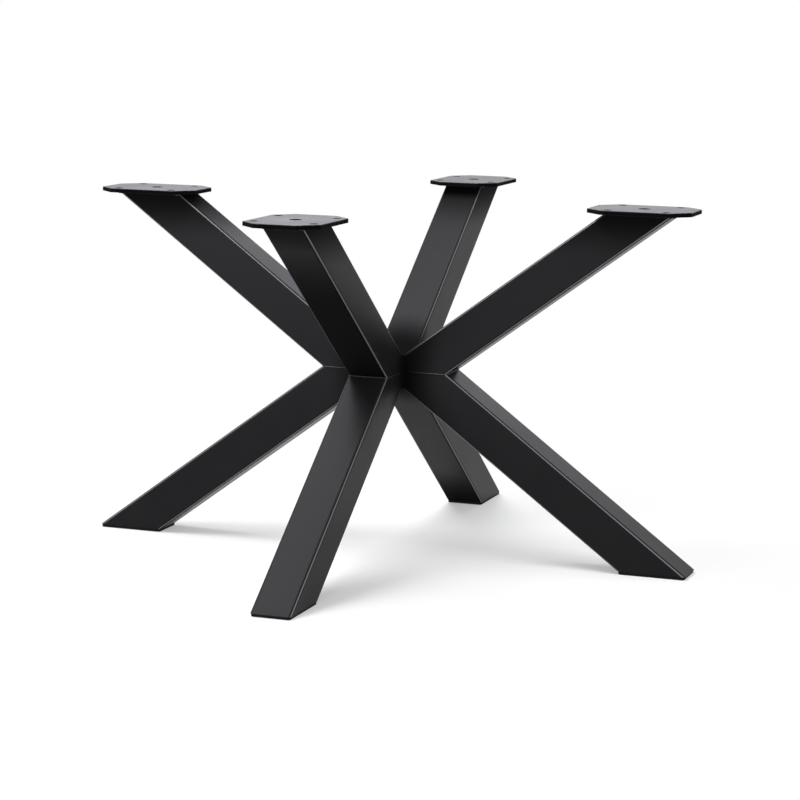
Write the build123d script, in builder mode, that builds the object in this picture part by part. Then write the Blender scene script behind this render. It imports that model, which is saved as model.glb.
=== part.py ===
from build123d import *
import math
import os

# Spider table base: four V-shaped legs of square steel tube, welded together on one vertical axis.
# Each leg is an upper and a lower arm, mitred at the elbow. Millimetres, +Z up. The origin is on the floor
# under the axis, and the legs stand on the diagonals, so the table's sides run along X and Y.

# Overall sizes
overall_height = 700.0
elbow_height = 365.0
arm_slope = 36.5
apex_past_axis = 5.0

# Square tube
tube_size = 80.0
tube_wall = 3.0
tube_corner_radius = 6.0

# Top plates: an even margin round the tube's cut, clipped corners, four screw holes and a vent hole
plate_margin = 34.0
plate_thickness = 8.0
plate_edge_chamfer = 1.0
screw_circle_diameter = 160.0
screw_hole = 11.0
vent_hole = 18.0

# Foot caps: a pad under the tube's end and a spigot up inside it
pad_thickness = 6.0
pad_inset = 1.5
pad_edge_chamfer = 1.5
spigot_height = 22.0
spigot_clearance = 0.4
spigot_wall = 3.0

# Legs by the compass corner that each one stands on
legs = {"rear_right": 45.0, "rear_left": 135.0, "front_left": 225.0, "front_right": 315.0}

# Sizes that follow
slope = math.radians(arm_slope)
cut_length = tube_size / math.sin(slope)
elbow_reach = cut_length / 2 - apex_past_axis
plate_length = cut_length + 2 * plate_margin
plate_width = tube_size + 2 * plate_margin
tube_top = overall_height - plate_thickness
foot_reach = elbow_reach + (elbow_height - pad_thickness) / math.tan(slope)
top_reach = elbow_reach + (tube_top - elbow_height) / math.tan(slope)
tube_bore = tube_size - 2 * tube_wall
bore_corner_radius = tube_corner_radius - tube_wall
spigot_size = tube_bore - 2 * spigot_clearance
spigot_corner_radius = bore_corner_radius - spigot_clearance


def level(height):
    """Horizontal plane at a height above the floor."""
    return Plane.XY.offset(height)


def on_leg(azimuth, reach, height):
    """Horizontal plane on a leg's centre line, with X pointing outwards along the leg."""
    turn = math.radians(azimuth)
    outwards = Vector(math.cos(turn), math.sin(turn), 0)
    return Plane(origin=outwards * reach + Vector(0, 0, height), x_dir=outwards, z_dir=(0, 0, 1))


def across_arm(azimuth, reach, height, rise):
    """Plane square to an arm that climbs (rise 1) or drops (rise -1) outwards through a point of the leg."""
    at = on_leg(azimuth, reach, height)
    along = at.x_dir * math.cos(slope) + Vector(0, 0, rise * math.sin(slope))
    return Plane(origin=at.origin, x_dir=at.y_dir, z_dir=along)


def wedge_planes(azimuth):
    """The two vertical planes through the axis where a leg meets its neighbours, facing into the leg."""
    planes = []
    for side in (-1, 1):
        into_leg = math.radians(azimuth + side * 45.0)
        planes.append(Plane(origin=(0, 0, 0), z_dir=(math.cos(into_leg), math.sin(into_leg), 0)))
    return planes


def tube_arm(azimuth, rise):
    """One arm: square tube cut level at the elbow and at its end, and cut to the neighbours at the axis."""
    end_height = tube_top if rise > 0 else pad_thickness
    arm_length = abs(end_height - elbow_height) / math.sin(slope)
    with BuildPart() as arm:
        with BuildSketch(across_arm(azimuth, elbow_reach, elbow_height, rise)):
            RectangleRounded(tube_size, tube_size, tube_corner_radius)
            RectangleRounded(tube_bore, tube_bore, bore_corner_radius, mode=Mode.SUBTRACT)
        extrude(amount=arm_length + cut_length, both=True)
        split(bisect_by=level(elbow_height), keep=Keep.TOP if rise > 0 else Keep.BOTTOM)
        split(bisect_by=level(end_height), keep=Keep.BOTTOM if rise > 0 else Keep.TOP)
        for plane in wedge_planes(azimuth):
            split(bisect_by=plane, keep=Keep.TOP)
    return arm


def top_plate(azimuth):
    """Plate welded on an upper arm's end, clipped in line with the tube's faces, with screws beside it."""
    with BuildPart() as plate:
        with BuildSketch(on_leg(azimuth, top_reach, tube_top)) as outline:
            Rectangle(plate_length, plate_width)
            chamfer(outline.vertices(), plate_margin)
            Circle(vent_hole / 2, mode=Mode.SUBTRACT)
            with PolarLocations(screw_circle_diameter / 2, 4, start_angle=45.0):
                Circle(screw_hole / 2, mode=Mode.SUBTRACT)
        extrude(amount=plate_thickness)
        rim = plate.faces().sort_by(Axis.Z)[-1].outer_wire().edges()
        chamfer(rim, plate_edge_chamfer)
    return plate


def foot_cap(azimuth):
    """Moulded cap: a level pad on the floor and a hollow spigot that follows the lower arm's bore."""
    with BuildPart() as cap:
        with BuildSketch(across_arm(azimuth, foot_reach, pad_thickness, -1)):
            RectangleRounded(spigot_size, spigot_size, spigot_corner_radius)
            Rectangle(spigot_size - 2 * spigot_wall, spigot_size - 2 * spigot_wall, mode=Mode.SUBTRACT)
        extrude(amount=2 * cut_length, both=True)
        split(bisect_by=level(pad_thickness), keep=Keep.TOP)
        split(bisect_by=level(pad_thickness + spigot_height), keep=Keep.BOTTOM)
        with BuildSketch(on_leg(azimuth, foot_reach, 0)):
            RectangleRounded(cut_length - 2 * pad_inset, tube_size - 2 * pad_inset, tube_corner_radius)
        extrude(amount=pad_thickness)
        sole = cap.faces().sort_by(Axis.Z)[0].outer_wire().edges()
        chamfer(sole, pad_edge_chamfer)
    return cap


os.makedirs("parts", exist_ok=True)
for corner, azimuth in legs.items():
    pieces = {
        f"{corner}_upper_arm": tube_arm(azimuth, 1),
        f"{corner}_lower_arm": tube_arm(azimuth, -1),
        f"{corner}_top_plate": top_plate(azimuth),
        f"{corner}_foot_cap": foot_cap(azimuth),
    }
    for node, piece in pieces.items():
        piece.part.label = node
        export_step(piece.part, f"parts/{node}.step")
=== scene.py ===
"""Looks of the spider table base: the powder coat, the foot pads, the welds and the studio it stands in.

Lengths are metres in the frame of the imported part: +Z up, the floor at zero, the base's axis at the origin
and the four legs on the diagonals.
"""
import math

import bmesh
import bpy
from bpy.props import FloatProperty, FloatVectorProperty, IntProperty, PointerProperty
from bpy.types import NodeSocket, Operator, Panel, PropertyGroup
from mathutils import Matrix, Vector
from mathutils.geometry import convex_hull_2d


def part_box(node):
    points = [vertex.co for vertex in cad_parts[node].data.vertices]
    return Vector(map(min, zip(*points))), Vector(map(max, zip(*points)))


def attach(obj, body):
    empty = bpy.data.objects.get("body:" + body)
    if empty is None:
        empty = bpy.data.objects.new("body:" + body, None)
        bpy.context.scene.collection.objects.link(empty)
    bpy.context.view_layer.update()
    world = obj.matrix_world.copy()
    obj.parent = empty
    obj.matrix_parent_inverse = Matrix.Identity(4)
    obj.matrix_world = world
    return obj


bl_info = {
    "name": "Spider table base",
    "version": (1, 0, 0),
    "blender": (4, 5, 0),
    "location": "3D View > Sidebar > Table Base",
    "description": "Dresses the four-legged table base: powder coat, foot pads, welds and studio",
    "category": "Object",
}

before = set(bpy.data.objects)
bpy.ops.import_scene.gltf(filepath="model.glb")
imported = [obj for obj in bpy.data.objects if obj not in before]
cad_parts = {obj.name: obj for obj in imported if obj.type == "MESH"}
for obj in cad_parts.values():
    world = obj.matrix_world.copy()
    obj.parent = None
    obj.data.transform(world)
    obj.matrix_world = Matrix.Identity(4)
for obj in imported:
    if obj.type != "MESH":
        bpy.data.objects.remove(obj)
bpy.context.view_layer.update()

BODY = "root"
WHITE = (1.0, 1.0, 1.0)

# The base: each leg's compass direction, the heights that matter, and the plates' middle and holes
LEGS = {"rear_right": 45.0, "rear_left": 135.0, "front_left": 225.0, "front_right": 315.0}
TO_BETWEEN_LEGS = 45.0
PLATE_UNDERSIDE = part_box("front_left_top_plate")[0].z
ELBOW_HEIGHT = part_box("front_left_upper_arm")[0].z
PLATE_LOW, PLATE_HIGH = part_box("rear_right_top_plate")
PLATE_OUT = (PLATE_LOW.x + PLATE_HIGH.x) / 2
SCREW_CIRCLE, SCREW_HOLE, VENT_HOLE = 0.160, 0.011, 0.018

# Where the coat changes and its painted highlight and painted shade lie: each pair is where a change starts
# and where it is complete.
# The first four go by the upward part of a face's normal, because rounded edges lie between upright faces
# and the arms' slope. The next go by distance from the axis and by height, the last by the angle of view.
PAST_UPRIGHT = (0.28, 0.43)
SHORT_OF_SLOPE = (0.66, 0.52)
CUT_RIM = (0.30, 0.10)
LOOKING_DOWN = (-0.35, -0.70)
CLEAR_OF_AXIS = (0.05, 0.13)
CLOSE_TO_AXIS = (0.13, 0.05)
ON_PLATE = (PLATE_UNDERSIDE, PLATE_UNDERSIDE + 0.001)
BELOW_PLATE = (PLATE_UNDERSIDE + 0.001, PLATE_UNDERSIDE)
CLOSE_TO_PLATE = (PLATE_UNDERSIDE - 0.09, PLATE_UNDERSIDE - 0.004)
ABOVE_ELBOW = (ELBOW_HEIGHT - 0.02, ELBOW_HEIGHT)
CLOSE_TO_ELBOW = (ELBOW_HEIGHT + 0.36, ELBOW_HEIGHT + 0.16)
CLOSE_TO_FLOOR = (0.11, 0.01)
GRAZING = (0.74, 0.90)

# Finishes: shine, spread of the gloss, shares of fine grain and broad patches in it, and depth of the bump
NOISE_SPAN = (0.3, 0.7)
COAT_SPECULAR, COAT_SPECULAR_TINT = 0.05, (0.93, 0.93, 1.0, 1.0)
COAT_GLOSS_SPREAD = 0.05
GRAIN_SHARE, PATCH_SHARE = 0.35, 0.65
PEEL_STRENGTH = 0.55
PAD_SPECULAR = 0.12
PAD_GLOSS_SPREAD = 0.08
PAD_SCUFF = 1.7
PAD_GRAIN_STRENGTH, PAD_GRAIN_DEPTH = 0.4, 0.00006

# Welds: the plate beads' drop in radii, the middle beads' start from the axis and share of the pitch, the
# least and greatest scale of a bead's drops along and across it, and how close two points count as one
BEAD_DROP = 0.35
MIDDLE_START, MIDDLE_PITCH = 0.012, 0.75
DROP_LEAST, DROP_MOST = (0.62, 0.94, 0.94), (0.78, 1.06, 1.06)
SAME_PLACE = 1e-5

# Studio: softboxes in the camera's turned frame by place, height of the point they face, width and length,
# and tint; then the floor and the camera's sensor
SOFTBOXES = {
    "key_softbox": ((-0.70, -0.05, 2.5), 0.2, (1.9, 1.6), WHITE),
    "side_softbox": ((2.1, -1.5, 1.3), 0.35, (1.2, 1.6), WHITE),
    "front_softbox": ((-2.3, -2.4, 0.6), 0.4, (1.8, 1.1), WHITE),
    "rim_softbox": ((0.6, 2.4, 1.45), 0.5, (3.2, 0.7), (0.88, 0.90, 1.0)),
}
FLOOR_HALF, FLOOR_CELLS = 14.0, 8
FLOOR_RUN_OUT = (0.45, 1.0)
SENSOR_WIDTH = 36.0

NODE_COLUMN, NODE_ROW = 220, 320


class CoatSettings(PropertyGroup):
    """Powder coat on the tubes and plates, and the plastic of the foot pads"""

    coat_colour: FloatVectorProperty(
        name="Coat colour", description="Black of the powder coat",
        subtype="COLOR", size=3, min=0.0, max=1.0, default=(0.0123, 0.0123, 0.0136))
    coat_bloom_colour: FloatVectorProperty(
        name="Coat bloom", description="Slightly greyer black in the thicker patches of the coat",
        subtype="COLOR", size=3, min=0.0, max=1.0, default=(0.0175, 0.0175, 0.0186))
    coat_roughness: FloatProperty(
        name="Coat roughness", description="Mean roughness of the satin coat",
        subtype="FACTOR", min=0.0, max=1.0, default=0.32)
    # Painted highlight: light grey laid on the rounded edges
    edge_highlight_colour: FloatVectorProperty(
        name="Edge colour", description="Grey of the thinner coat on rounded edges",
        subtype="COLOR", size=3, min=0.0, max=1.0, default=(0.200, 0.200, 0.208))
    edge_roughness: FloatProperty(
        name="Edge roughness", description="Roughness of the smoother coat on rounded edges",
        subtype="FACTOR", min=0.0, max=1.0, default=0.26)
    edge_shine: FloatProperty(
        name="Edge shine", description="Bare-metal share of the shine on rounded edges",
        subtype="FACTOR", min=0.0, max=1.0, default=0.40)
    # Painted shade: deeper black laid on the plates' cut rims and round their holes
    rim_shade_colour: FloatVectorProperty(
        name="Plate rim colour", description="Deeper black of the thick coat on the plates' rims and holes",
        subtype="COLOR", size=3, min=0.0, max=1.0, default=(0.003, 0.003, 0.0035))
    rim_roughness: FloatProperty(
        name="Plate rim roughness", description="Roughness of the coat on the cut rims and round the holes",
        subtype="FACTOR", min=0.0, max=1.0, default=0.95)
    # Width of the painted shade round the plates' holes
    hole_shade_width: FloatProperty(
        name="Hole rim", description="Width of the thick coat round the plates' holes",
        subtype="DISTANCE", min=0.0, max=0.02, default=0.003)
    # Painted shade: near-black laid below the plates, round the axis and under the arms
    painted_shade_colour: FloatVectorProperty(
        name="Shelter colour", description="Black of the thin coat in corners that spray hardly reaches",
        subtype="COLOR", size=3, min=0.0, max=1.0, default=(0.002, 0.002, 0.002))
    # Roughness where the painted shade lies
    painted_shade_roughness: FloatProperty(
        name="Shelter roughness", description="Roughness of the thin, dry coat in sheltered corners",
        subtype="FACTOR", min=0.0, max=1.0, default=0.85)
    # Strength of the painted shade on the arms close under the plates
    plate_shade_strength: FloatProperty(
        name="Plate shelter", description="How thin the coat is on the arms close under the plates",
        subtype="FACTOR", min=0.0, max=1.0, default=0.85)
    peel_size: FloatProperty(
        name="Orange peel size", description="Width of one dimple of the orange peel",
        subtype="DISTANCE", min=0.0002, max=0.02, default=0.0022)
    peel_depth: FloatProperty(
        name="Orange peel depth", description="Depth of the orange peel",
        subtype="DISTANCE", min=0.0, max=0.001, default=0.00004)
    pad_colour: FloatVectorProperty(
        name="Pad colour", description="Black of the foot pads",
        subtype="COLOR", size=3, min=0.0, max=1.0, default=(0.004, 0.004, 0.0045))
    pad_roughness: FloatProperty(
        name="Pad roughness", description="Mean roughness of the moulded pads",
        subtype="FACTOR", min=0.0, max=1.0, default=0.74)


class WeldSettings(PropertyGroup):
    """Weld beads under the plates and at the middle, and the dressed seams at the elbows"""

    bead_radius: FloatProperty(
        name="Bead radius", description="Radius of the fillet bead under a plate",
        subtype="DISTANCE", min=0.0005, max=0.01, default=0.0032)
    bead_pitch: FloatProperty(
        name="Ripple pitch", description="Distance between two ripples of a bead",
        subtype="DISTANCE", min=0.0005, max=0.02, default=0.0024)
    middle_radius: FloatProperty(
        name="Middle bead radius", description="Radius of the beads between the legs",
        subtype="DISTANCE", min=0.0005, max=0.01, default=0.0026)
    seam_radius: FloatProperty(
        name="Seam radius", description="Radius of the dressed seam round an elbow",
        subtype="DISTANCE", min=0.0002, max=0.01, default=0.0011)
    tube_size: FloatProperty(
        name="Tube size", description="Side of the square tube",
        subtype="DISTANCE", min=0.01, max=0.3, default=0.080)
    arm_slope: FloatProperty(
        name="Arm slope", description="Slope of the arms above the floor",
        subtype="ANGLE", min=0.1, max=1.5, default=math.radians(36.5))
    apex_past_axis: FloatProperty(
        name="Apex past axis", description="How far a leg's inner edge reaches past the axis",
        subtype="DISTANCE", min=0.0, max=0.05, default=0.005)
    seed: IntProperty(name="Seed", description="Fixed seed of the ripples", min=0, default=7)


class StudioSettings(PropertyGroup):
    """Floor, lamps, surroundings and camera"""

    floor_colour: FloatVectorProperty(
        name="Floor colour", description="White floor, as seen and as mirrored",
        subtype="COLOR", size=3, min=0.0, max=1.0, default=(0.96, 0.96, 0.96))
    floor_glow: FloatProperty(
        name="Floor glow", description="Share of plain white in the floor under the base",
        subtype="FACTOR", min=0.0, max=1.0, default=0.36)
    floor_bounce: FloatProperty(
        name="Floor bounce", description="Share of its light that the floor sends back up to the base",
        subtype="FACTOR", min=0.0, max=1.0, default=0.45)
    surroundings: FloatProperty(
        name="Surroundings", description="Light that the white studio sends from all sides",
        min=0.0, default=0.25)
    key_power: FloatProperty(
        name="Key power", description="Power of the overhead softbox",
        subtype="POWER", min=0.0, default=78.0)
    side_power: FloatProperty(
        name="Side power", description="Power of the softbox on the right",
        subtype="POWER", min=0.0, default=16.0)
    front_power: FloatProperty(
        name="Front power", description="Power of the low softbox in front, on the left",
        subtype="POWER", min=0.0, default=36.0)
    rim_power: FloatProperty(
        name="Rim power", description="Power of the strip softbox behind",
        subtype="POWER", min=0.0, default=11.0)
    camera_heading: FloatProperty(
        name="Camera heading", description="Turn of the view about the vertical, from looking along +Y",
        subtype="ANGLE", default=math.radians(-25.38))
    camera_place: FloatVectorProperty(
        name="Camera place", description="Camera to the right, ahead and up, in the turned frame",
        subtype="TRANSLATION", size=3, default=(0.0194, -5.0910, 1.1446))
    camera_pitch: FloatProperty(
        name="Camera pitch", description="How far the camera looks down",
        subtype="ANGLE", default=math.radians(9.413))
    camera_roll: FloatProperty(
        name="Camera roll", description="Turn of the camera about its line of sight",
        subtype="ANGLE", default=math.radians(0.796))
    camera_lens: FloatProperty(
        name="Camera lens", description="Focal length on a 36 mm wide sensor", min=1.0, default=117.74)


class NodeBench:
    """Adds and joins the nodes of one tree. A part fed to a node is a value or another node's socket."""

    def __init__(self, tree):
        self.tree = tree

    def add(self, kind, inputs=None, **attributes):
        """A new node with its attributes set and its inputs fed."""
        node = self.tree.nodes.new(kind)
        for name, value in attributes.items():
            setattr(node, name, value)
        for key, part in (inputs or {}).items():
            if isinstance(part, NodeSocket):
                self.tree.links.new(part, node.inputs[key])
            else:
                node.inputs[key].default_value = part
        return node

    def end(self, kind, key, result):
        """Joins the result to the tree's output, and sets each node in a column left of those it feeds."""
        self.add(kind, {key: result})
        column = {node.name: 0 for node in self.tree.nodes}
        for _ in self.tree.nodes:
            for wire in self.tree.links:
                source, target = wire.from_node.name, wire.to_node.name
                column[source] = max(column[source], column[target] + 1)
        filled = {}
        for name, steps in column.items():
            row = filled.get(steps, 0)
            filled[steps] = row + 1
            self.tree.nodes[name].location = (-NODE_COLUMN * steps, -NODE_ROW * row)

    def noise(self, place, **inputs):
        """Soft noise over a place."""
        return self.add("ShaderNodeTexNoise", {"Vector": place, **inputs}).outputs["Fac"]

    def calculate(self, operation, *parts):
        """Result of a Math node."""
        return self.add("ShaderNodeMath", dict(enumerate(parts)), operation=operation).outputs["Value"]

    def product(self, a, b):
        """Product of two parts."""
        return self.calculate("MULTIPLY", a, b)

    def larger(self, a, b):
        """The larger of two parts."""
        return self.calculate("MAXIMUM", a, b)

    def vector(self, operation, *parts):
        """Result of a Vector Math node: a vector, or a number for a length."""
        node = self.add("ShaderNodeVectorMath", dict(enumerate(parts)), operation=operation)
        return node.outputs["Value" if operation == "LENGTH" else "Vector"]

    def distance(self, place, centre):
        """Distance of a place from an upright line through a centre."""
        level = self.vector("MULTIPLY", self.vector("SUBTRACT", place, (*centre, 0.0)), (1.0, 1.0, 0.0))
        return self.vector("LENGTH", level)

    def mapped(self, value, span, result, way="LINEAR"):
        """Maps the span of a value onto a span of results, and holds them at both ends."""
        node = self.add("ShaderNodeMapRange", {
            "Value": value, "From Min": span[0], "From Max": span[1],
            "To Min": result[0], "To Max": result[1]}, interpolation_type=way)
        return node.outputs["Result"]

    def smooth_step(self, value, span):
        """Nought where the span starts, one where it ends and smooth between."""
        return self.mapped(value, span, (0.0, 1.0), "SMOOTHSTEP")

    def laid_over(self, below, mask, top):
        """A colour or number laid over another where the mask is one."""
        kind = "RGBA" if isinstance(top, tuple) else "FLOAT"
        node = self.add("ShaderNodeMix", {"A": below, "Factor": mask, "B": top}, data_type=kind)
        return node.outputs["Result"]


def new_material(name):
    """An empty node material and the bench for its nodes."""
    material = bpy.data.materials.new(name)
    material.use_nodes = True
    material.node_tree.nodes.clear()
    return material, NodeBench(material.node_tree)


def hole_shade_rims(nodes, place, width):
    """Painted shade mask: one close round the vent and screw holes, with the plates and their quarters
    folded onto one.
    """
    folded = nodes.vector("SUBTRACT", nodes.vector("ABSOLUTE", place), (PLATE_OUT, PLATE_OUT, 0.0))
    quarter = nodes.vector("ABSOLUTE", folded)
    out = SCREW_CIRCLE / 2
    rims = None
    for centre, hole in (((0.0, 0.0), VENT_HOLE), ((out, 0.0), SCREW_HOLE), ((0.0, out), SCREW_HOLE)):
        away = nodes.distance(quarter, centre)
        rim = nodes.smooth_step(away, (hole / 2 + width, hole / 2 + width / 2))
        rims = rim if rims is None else nodes.larger(rims, rim)
    return rims


def painted_shade_mask(nodes, away, height, facing_up, plate_shade_strength):
    """Painted shade mask: one below plates, round the axis, and under arms by elbows and feet."""
    below_plate = nodes.smooth_step(height, BELOW_PLATE)
    plates = nodes.product(below_plate, nodes.smooth_step(height, CLOSE_TO_PLATE))
    plates = nodes.product(plates, plate_shade_strength)
    axis = nodes.smooth_step(away, CLOSE_TO_AXIS)
    above_elbow = nodes.smooth_step(height, ABOVE_ELBOW)
    elbows = nodes.product(above_elbow, nodes.smooth_step(height, CLOSE_TO_ELBOW))
    feet = nodes.smooth_step(height, CLOSE_TO_FLOOR)
    looking_down = nodes.smooth_step(facing_up, LOOKING_DOWN)
    undersides = nodes.product(nodes.larger(elbows, feet), looking_down)
    return nodes.larger(plates, nodes.larger(axis, undersides))


def powder_coat(coat):
    """Satin black powder coat: orange peel, uneven gloss, patches, shiny edges with a painted highlight,
    matt rims with painted shade, and painted shade in corners.
    """
    material, nodes = new_material("powder_coat")
    spot = nodes.add("ShaderNodeTexCoord")
    place = spot.outputs["Object"]
    patches = nodes.noise(place, Scale=9.0, Detail=3.0, Roughness=0.55)
    grain = nodes.noise(place, Scale=420.0, Detail=2.0, Roughness=0.6)
    peel = nodes.add("ShaderNodeTexVoronoi", {
        "Vector": place, "Scale": 1.0 / coat.peel_size, "Randomness": 1.0}, feature="SMOOTH_F1")

    # Masks: painted highlight on rounded edges away from the axis, painted shade on the plates' cut rims and
    # hole rims, and painted shade below plates, round the axis and under arms
    height = nodes.add("ShaderNodeSeparateXYZ", {"Vector": place}).outputs["Z"]
    facing_up = nodes.add("ShaderNodeSeparateXYZ", {"Vector": spot.outputs["Normal"]}).outputs["Z"]
    tilt = nodes.calculate("ABSOLUTE", facing_up)
    away = nodes.distance(place, (0.0, 0.0))
    # Painted highlight mask on rounded edges, away from the axis
    edge_highlight = nodes.product(nodes.smooth_step(tilt, PAST_UPRIGHT), nodes.smooth_step(tilt, SHORT_OF_SLOPE))
    edge_highlight = nodes.product(edge_highlight, nodes.smooth_step(away, CLEAR_OF_AXIS))
    # Painted shade mask on the plates' cut rims and round their holes
    rim = nodes.larger(nodes.smooth_step(tilt, CUT_RIM), hole_shade_rims(nodes, place, coat.hole_shade_width))
    rim = nodes.product(rim, nodes.smooth_step(height, ON_PLATE))
    # Painted shade mask: below the plates, round the axis and under the arms by elbows and feet
    painted_shade = painted_shade_mask(nodes, away, height, facing_up, coat.plate_shade_strength)

    colour = nodes.laid_over((*coat.coat_colour, 1.0), patches, (*coat.coat_bloom_colour, 1.0))
    # Painted shade: near-black laid below the plates, round the axis and under the arms
    colour = nodes.laid_over(colour, painted_shade, (*coat.painted_shade_colour, 1.0))
    # Painted shade: near-black laid on the plates' cut rims and round their holes
    colour = nodes.laid_over(colour, rim, (*coat.rim_shade_colour, 1.0))
    # Painted highlight: light grey laid along the rounded edges
    colour = nodes.laid_over(colour, edge_highlight, (*coat.edge_highlight_colour, 1.0))

    uneven = nodes.calculate("MULTIPLY_ADD", grain, GRAIN_SHARE, nodes.product(patches, PATCH_SHARE))
    gloss = nodes.mapped(uneven, NOISE_SPAN, (
        coat.coat_roughness - COAT_GLOSS_SPREAD, coat.coat_roughness + COAT_GLOSS_SPREAD))
    glance = nodes.add("ShaderNodeLayerWeight", {"Blend": 0.5}).outputs["Facing"]
    # Roughness where the painted shade lies: its own face-on, the coat's at grazing views
    shaded_roughness = nodes.mapped(glance, GRAZING, (coat.painted_shade_roughness, coat.coat_roughness))
    roughness = nodes.laid_over(gloss, painted_shade, shaded_roughness)
    roughness = nodes.laid_over(roughness, rim, coat.rim_roughness)
    roughness = nodes.laid_over(roughness, edge_highlight, coat.edge_roughness)

    bump = nodes.add("ShaderNodeBump", {
        "Strength": PEEL_STRENGTH, "Distance": coat.peel_depth, "Height": peel.outputs["Distance"]})
    shader = nodes.add("ShaderNodeBsdfPrincipled", {
        "Base Color": colour, "Metallic": nodes.product(edge_highlight, coat.edge_shine), "Roughness": roughness,
        "Normal": bump.outputs["Normal"], "Specular IOR Level": COAT_SPECULAR,
        "Specular Tint": COAT_SPECULAR_TINT})
    nodes.end("ShaderNodeOutputMaterial", "Surface", shader.outputs["BSDF"])
    return material


def pad_plastic(coat):
    """Moulded black plastic with a fine spark-eroded grain."""
    material, nodes = new_material("pad_plastic")
    place = nodes.add("ShaderNodeTexCoord").outputs["Object"]
    grain = nodes.noise(place, Scale=900.0, Detail=2.0, Roughness=0.7)
    scuff = nodes.noise(place, Scale=35.0, Detail=4.0, Roughness=0.6)
    scuffed = tuple(PAD_SCUFF * c for c in coat.pad_colour)
    colour = nodes.laid_over((*coat.pad_colour, 1.0), scuff, (*scuffed, 1.0))
    roughness = nodes.mapped(scuff, NOISE_SPAN, (
        coat.pad_roughness - PAD_GLOSS_SPREAD, coat.pad_roughness + PAD_GLOSS_SPREAD))
    bump = nodes.add("ShaderNodeBump", {
        "Strength": PAD_GRAIN_STRENGTH, "Distance": PAD_GRAIN_DEPTH, "Height": grain})
    shader = nodes.add("ShaderNodeBsdfPrincipled", {
        "Base Color": colour, "Roughness": roughness, "Normal": bump.outputs["Normal"],
        "Specular IOR Level": PAD_SPECULAR})
    nodes.end("ShaderNodeOutputMaterial", "Surface", shader.outputs["BSDF"])
    return material


def from_axis(azimuth, reach, height):
    """A point in a compass direction from the axis, at a height above the floor."""
    a = math.radians(azimuth)
    return Vector((reach * math.cos(a), reach * math.sin(a), height))


def rim_at(node, height):
    """The outline of a CAD node's level face at a height, anticlockwise from above."""
    points = [v.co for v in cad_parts[node].data.vertices if abs(v.co.z - height) < SAME_PLACE]
    if len(points) < 4:
        raise RuntimeError(f"{node} has no level face at {height}")
    flat = [p.xy for p in points]
    rim = []
    for i in convex_hull_2d(flat):
        if not rim or (flat[i] - rim[-1]).length > SAME_PLACE:
            rim.append(flat[i])
    if (rim[0] - rim[-1]).length < SAME_PLACE:
        rim.pop()
    return [Vector((p.x, p.y, height)) for p in rim]


def paths_object(name, paths):
    """A mesh of bare edges that follow the paths; each is a list of points and whether it closes."""
    bm = bmesh.new()
    for points, closed in paths:
        verts = [bm.verts.new(p) for p in points]
        pairs = list(zip(verts, verts[1:])) + ([(verts[-1], verts[0])] if closed else [])
        for a, b in pairs:
            bm.edges.new((a, b))
    mesh = bpy.data.meshes.new(name)
    bm.to_mesh(mesh)
    bm.free()
    obj = bpy.data.objects.new(name, mesh)
    bpy.context.scene.collection.objects.link(obj)
    return obj


def new_tree(name, inputs):
    """A Geometry Nodes tree and its bench; each named input is a name, a socket type and a default."""
    tree = bpy.data.node_groups.new(name, "GeometryNodeTree")
    tree.interface.new_socket("Geometry", in_out="INPUT", socket_type="NodeSocketGeometry")
    for label, kind, default in inputs:
        socket = tree.interface.new_socket(label, in_out="INPUT", socket_type=kind)
        if default is not None:
            socket.default_value = default
    tree.interface.new_socket("Geometry", in_out="OUTPUT", socket_type="NodeSocketGeometry")
    return tree, NodeBench(tree)


def end_painted(nodes, geometry, material):
    """Ends a Geometry Nodes tree: its instances made real, then its material."""
    real = nodes.add("GeometryNodeRealizeInstances", {"Geometry": geometry})
    paint = nodes.add("GeometryNodeSetMaterial", {
        "Geometry": real.outputs["Geometry"], "Material": material})
    nodes.end("NodeGroupOutput", "Geometry", paint.outputs["Geometry"])


def bead_tree():
    """Weld bead: overlapping flattened drops along each path, each a little different."""
    tree, nodes = new_tree("weld_bead", [
        ("Radius", "NodeSocketFloat", 0.003), ("Pitch", "NodeSocketFloat", 0.002),
        ("Seed", "NodeSocketInt", 0), ("Material", "NodeSocketMaterial", None)])
    given = nodes.add("NodeGroupInput").outputs
    path = nodes.add("GeometryNodeMeshToCurve", {"Mesh": given["Geometry"]})
    stops = nodes.add("GeometryNodeResampleCurve", {
        "Curve": path.outputs["Curve"], "Length": given["Pitch"]}, mode="LENGTH")
    drop = nodes.add("GeometryNodeMeshIcoSphere", {"Radius": given["Radius"], "Subdivisions": 2})
    smooth = nodes.add("GeometryNodeSetShadeSmooth", {"Geometry": drop.outputs["Mesh"]})
    tangent = nodes.add("GeometryNodeInputTangent")
    turn = nodes.add("FunctionNodeAlignRotationToVector", {"Vector": tangent.outputs["Tangent"]}, axis="X")
    vary = nodes.add("FunctionNodeRandomValue", {
        "Min": DROP_LEAST, "Max": DROP_MOST, "Seed": given["Seed"]}, data_type="FLOAT_VECTOR")
    beads = nodes.add("GeometryNodeInstanceOnPoints", {
        "Points": stops.outputs["Curve"], "Instance": smooth.outputs["Geometry"],
        "Rotation": turn.outputs["Rotation"], "Scale": vary.outputs["Value"]})
    end_painted(nodes, beads.outputs["Instances"], given["Material"])
    return tree


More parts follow.
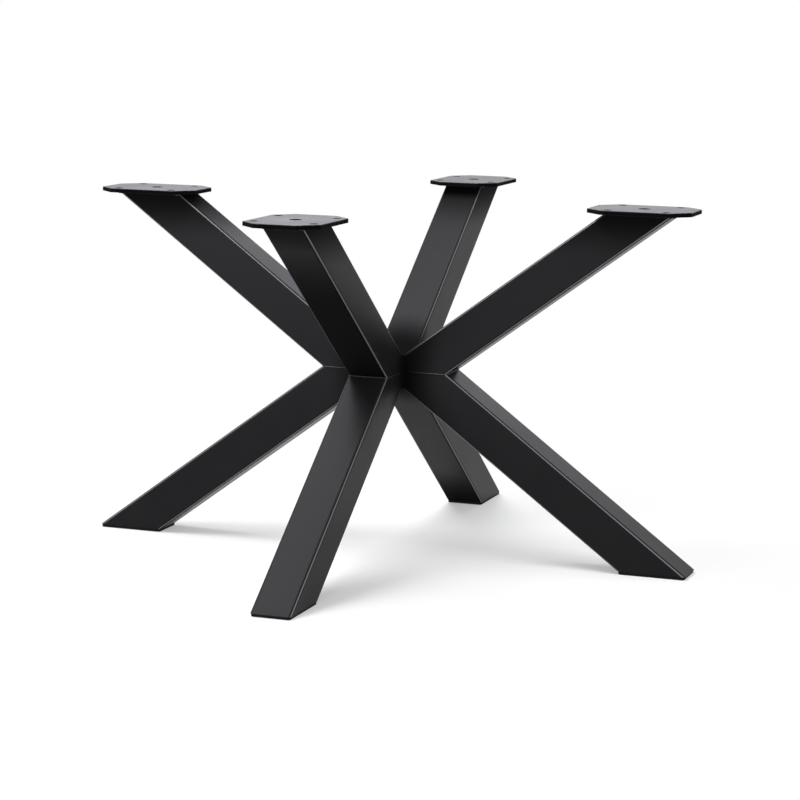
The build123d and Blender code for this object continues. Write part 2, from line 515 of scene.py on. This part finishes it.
def seam_tree():
    """Dressed seam: a thin round line along each path, with its ends closed."""
    tree, nodes = new_tree("dressed_seam", [
        ("Radius", "NodeSocketFloat", 0.001), ("Sides", "NodeSocketInt", 10),
        ("Material", "NodeSocketMaterial", None)])
    given = nodes.add("NodeGroupInput").outputs
    path = nodes.add("GeometryNodeMeshToCurve", {"Mesh": given["Geometry"]})
    ring = nodes.add("GeometryNodeCurvePrimitiveCircle", {
        "Radius": given["Radius"], "Resolution": given["Sides"]})
    sweep = nodes.add("GeometryNodeCurveToMesh", {
        "Curve": path.outputs["Curve"], "Profile Curve": ring.outputs["Curve"], "Fill Caps": True})
    smooth = nodes.add("GeometryNodeSetShadeSmooth", {"Geometry": sweep.outputs["Mesh"]})
    end_painted(nodes, smooth.outputs["Geometry"], given["Material"])
    return tree


def grow(name, paths, tree, values):
    """Runs a tree along the paths, keeps the result as a plain mesh and puts it on the base."""
    guide = paths_object(name + "_paths", paths)
    modifier = guide.modifiers.new(tree.name, "NODES")
    modifier.node_group = tree
    sockets = {s.name: s.identifier for s in tree.interface.items_tree if s.in_out == "INPUT"}
    values["Material"] = bpy.data.materials["powder_coat"]
    for label, value in values.items():
        modifier[sockets[label]] = value
    depsgraph = bpy.context.evaluated_depsgraph_get()
    mesh = bpy.data.meshes.new_from_object(guide.evaluated_get(depsgraph))
    bare = guide.data
    bpy.data.objects.remove(guide)
    bpy.data.meshes.remove(bare)
    if not mesh.polygons:
        raise RuntimeError(f"{name} came out empty")
    mesh.name = name
    piece = bpy.data.objects.new(name, mesh)
    bpy.context.scene.collection.objects.link(piece)
    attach(piece, BODY)


class BASE_OT_coat(Operator):
    """Gives the tubes and plates their powder coat and the feet their plastic"""

    bl_idname = "base.coat"
    bl_label = "Coat the base"

    def execute(self, context):
        coat = context.scene.base_coat
        steel, plastic = powder_coat(coat), pad_plastic(coat)
        for name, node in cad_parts.items():
            node.data.materials.clear()
            node.data.materials.append(plastic if name.endswith("foot_cap") else steel)
        return {"FINISHED"}


class BASE_OT_plate_welds(Operator):
    """Lays a fillet bead round each tube, under its plate"""

    bl_idname = "base.plate_welds"
    bl_label = "Weld the plates"

    def execute(self, context):
        weld = context.scene.base_weld
        drop = Vector((0.0, 0.0, BEAD_DROP * weld.bead_radius))
        paths = []
        for leg in LEGS:
            rim = rim_at(leg + "_upper_arm", PLATE_UNDERSIDE)
            paths.append(([p - drop for p in rim], True))
        grow("plate_welds", paths, bead_tree(), {
            "Radius": weld.bead_radius, "Pitch": weld.bead_pitch, "Seed": weld.seed})
        return {"FINISHED"}


class BASE_OT_elbow_seams(Operator):
    """Draws the dressed seam round the outside of each elbow"""

    bl_idname = "base.elbow_seams"
    bl_label = "Seam the elbows"

    def execute(self, context):
        weld = context.scene.base_weld
        paths = []
        for leg in LEGS:
            rim = rim_at(leg + "_upper_arm", ELBOW_HEIGHT)
            inner = min(range(len(rim)), key=lambda i: rim[i].xy.length)
            paths.append((rim[inner + 1:] + rim[:inner], False))
        grow("elbow_seams", paths, seam_tree(), {"Radius": weld.seam_radius})
        return {"FINISHED"}


class BASE_OT_middle_welds(Operator):
    """Lays the beads between neighbouring legs, where they meet round the axis"""

    bl_idname = "base.middle_welds"
    bl_label = "Weld the middle"

    def execute(self, context):
        weld = context.scene.base_weld
        half, rise = weld.tube_size / 2, math.tan(weld.arm_slope)
        corner = math.sqrt(2) * half
        valley = weld.apex_past_axis * rise + MIDDLE_START * rise / math.sqrt(2)
        shoulder = (half + weld.apex_past_axis) * rise
        line = [(MIDDLE_START, valley), (corner, shoulder), (corner, -shoulder), (MIDDLE_START, -valley)]
        paths = []
        for azimuth in LEGS.values():
            between = azimuth + TO_BETWEEN_LEGS
            paths.append(([from_axis(between, reach, ELBOW_HEIGHT + up) for reach, up in line], False))
        grow("middle_welds", paths, bead_tree(), {
            "Radius": weld.middle_radius, "Pitch": MIDDLE_PITCH * weld.bead_pitch, "Seed": weld.seed + 1})
        return {"FINISHED"}


def seen_rays(nodes):
    """One for what is seen, directly, mirrored or through glass, and nought for light that only bounces."""
    ray = nodes.add("ShaderNodeLightPath").outputs
    seen = nodes.larger(ray["Is Camera Ray"], ray["Is Glossy Ray"])
    return nodes.larger(seen, ray["Is Transmission Ray"])


def white_floor(studio):
    """White floor that keeps the shadow near the base and runs out to plain white."""
    material, nodes = new_material("studio_floor")
    place = nodes.add("ShaderNodeTexCoord").outputs["Object"]
    away = nodes.vector("LENGTH", place)
    run_out = nodes.mapped(away, FLOOR_RUN_OUT, (studio.floor_glow, 1.0), "SMOOTHSTEP")
    seen = seen_rays(nodes)
    dimmed = tuple(studio.floor_bounce * c for c in studio.floor_colour)
    tone = nodes.laid_over((*dimmed, 1.0), seen, (*studio.floor_colour, 1.0))
    matt = nodes.add("ShaderNodeBsdfDiffuse", {"Color": tone})
    white = nodes.add("ShaderNodeEmission", {
        "Strength": nodes.mapped(seen, (0.0, 1.0), (studio.floor_bounce, 1.0))})
    mix = nodes.add("ShaderNodeMixShader", {
        "Fac": run_out, 1: matt.outputs["BSDF"], 2: white.outputs["Emission"]})
    nodes.end("ShaderNodeOutputMaterial", "Surface", mix.outputs["Shader"])
    return material


def white_studio(studio):
    """White surroundings: plain white to the eye and in reflections, dimmer as a lamp."""
    world = bpy.data.worlds.new("studio")
    world.use_nodes = True
    world.node_tree.nodes.clear()
    nodes = NodeBench(world.node_tree)
    level = nodes.mapped(seen_rays(nodes), (0.0, 1.0), (studio.surroundings, 1.0))
    sky = nodes.add("ShaderNodeBackground", {"Color": (*WHITE, 1.0), "Strength": level})
    nodes.end("ShaderNodeOutputWorld", "Surface", sky.outputs["Background"])
    return world


def lay_floor(scene, studio):
    """The white floor, which is the stage and no part of the base."""
    bm = bmesh.new()
    bmesh.ops.create_grid(bm, x_segments=FLOOR_CELLS, y_segments=FLOOR_CELLS, size=FLOOR_HALF)
    mesh = bpy.data.meshes.new("studio_floor")
    bm.to_mesh(mesh)
    bm.free()
    mesh.materials.append(white_floor(studio))
    floor = bpy.data.objects.new("studio_floor", mesh)
    scene.collection.objects.link(floor)


def hang_softbox(scene, name, turn, power):
    """A rectangular area lamp, turned to face the axis."""
    place, faced_height, size, tint = SOFTBOXES[name]
    lamp = bpy.data.lights.new(name, "AREA")
    lamp.shape = "RECTANGLE"
    lamp.size, lamp.size_y = size
    lamp.energy = power
    lamp.color = tint
    obj = bpy.data.objects.new(name, lamp)
    obj.location = turn @ Vector(place)
    faced = Vector((0.0, 0.0, faced_height))
    obj.rotation_euler = (faced - obj.location).to_track_quat("-Z", "Y").to_euler()
    scene.collection.objects.link(obj)


def set_camera(scene, studio, turn):
    """The camera, tipped down and rolled in the turned frame."""
    right = Vector((1.0, 0.0, 0.0))
    ahead = Vector((0.0, math.cos(studio.camera_pitch), -math.sin(studio.camera_pitch)))
    above = right.cross(ahead)
    cos_roll, sin_roll = math.cos(studio.camera_roll), math.sin(studio.camera_roll)
    across = cos_roll * right + sin_roll * above
    upright = -sin_roll * right + cos_roll * above
    facing = Matrix((across, upright, -ahead)).transposed().to_4x4()
    lens = bpy.data.cameras.new("camera")
    lens.sensor_fit = "HORIZONTAL"
    lens.sensor_width = SENSOR_WIDTH
    lens.lens = studio.camera_lens
    camera = bpy.data.objects.new("camera", lens)
    camera.matrix_world = turn @ Matrix.Translation(studio.camera_place) @ facing
    scene.collection.objects.link(camera)
    scene.camera = camera


class BASE_OT_studio(Operator):
    """Sets the floor, the lamps, the white surroundings and the camera"""

    bl_idname = "base.studio"
    bl_label = "Set the studio"

    def execute(self, context):
        scene = context.scene
        studio = scene.base_studio
        scene.view_settings.view_transform = "Standard"
        lay_floor(scene, studio)
        scene.world = white_studio(studio)
        turn = Matrix.Rotation(studio.camera_heading, 4, "Z")
        hang_softbox(scene, "key_softbox", turn, studio.key_power)
        hang_softbox(scene, "side_softbox", turn, studio.side_power)
        hang_softbox(scene, "front_softbox", turn, studio.front_power)
        hang_softbox(scene, "rim_softbox", turn, studio.rim_power)
        set_camera(scene, studio, turn)
        return {"FINISHED"}


class BASE_PT_sidebar(Panel):
    """Lists the steps that dress the table base"""

    bl_label = "Table base"
    bl_idname = "BASE_PT_sidebar"
    bl_space_type = "VIEW_3D"
    bl_region_type = "UI"
    bl_category = "Table Base"

    def draw(self, context):
        scene = context.scene
        welds = (BASE_OT_plate_welds, BASE_OT_elbow_seams, BASE_OT_middle_welds)
        for group, steps in ((scene.base_coat, (BASE_OT_coat,)), (scene.base_weld, welds),
                             (scene.base_studio, (BASE_OT_studio,))):
            box = self.layout.box()
            for name in group.bl_rna.properties.keys():
                if name not in ("rna_type", "name"):
                    box.prop(group, name)
            for step in steps:
                box.operator(step.bl_idname)


CLASSES = (CoatSettings, WeldSettings, StudioSettings, BASE_OT_coat, BASE_OT_plate_welds,
           BASE_OT_elbow_seams, BASE_OT_middle_welds, BASE_OT_studio, BASE_PT_sidebar)


def register():
    for cls in CLASSES:
        bpy.utils.register_class(cls)
    bpy.types.Scene.base_coat = PointerProperty(type=CoatSettings)
    bpy.types.Scene.base_weld = PointerProperty(type=WeldSettings)
    bpy.types.Scene.base_studio = PointerProperty(type=StudioSettings)


def unregister():
    del bpy.types.Scene.base_studio
    del bpy.types.Scene.base_weld
    del bpy.types.Scene.base_coat
    for cls in reversed(CLASSES):
        bpy.utils.unregister_class(cls)


def main():
    register()
    bpy.ops.base.coat()
    bpy.ops.base.plate_welds()
    bpy.ops.base.elbow_seams()
    bpy.ops.base.middle_welds()
    bpy.ops.base.studio()


if __name__ == "__main__":
    main()
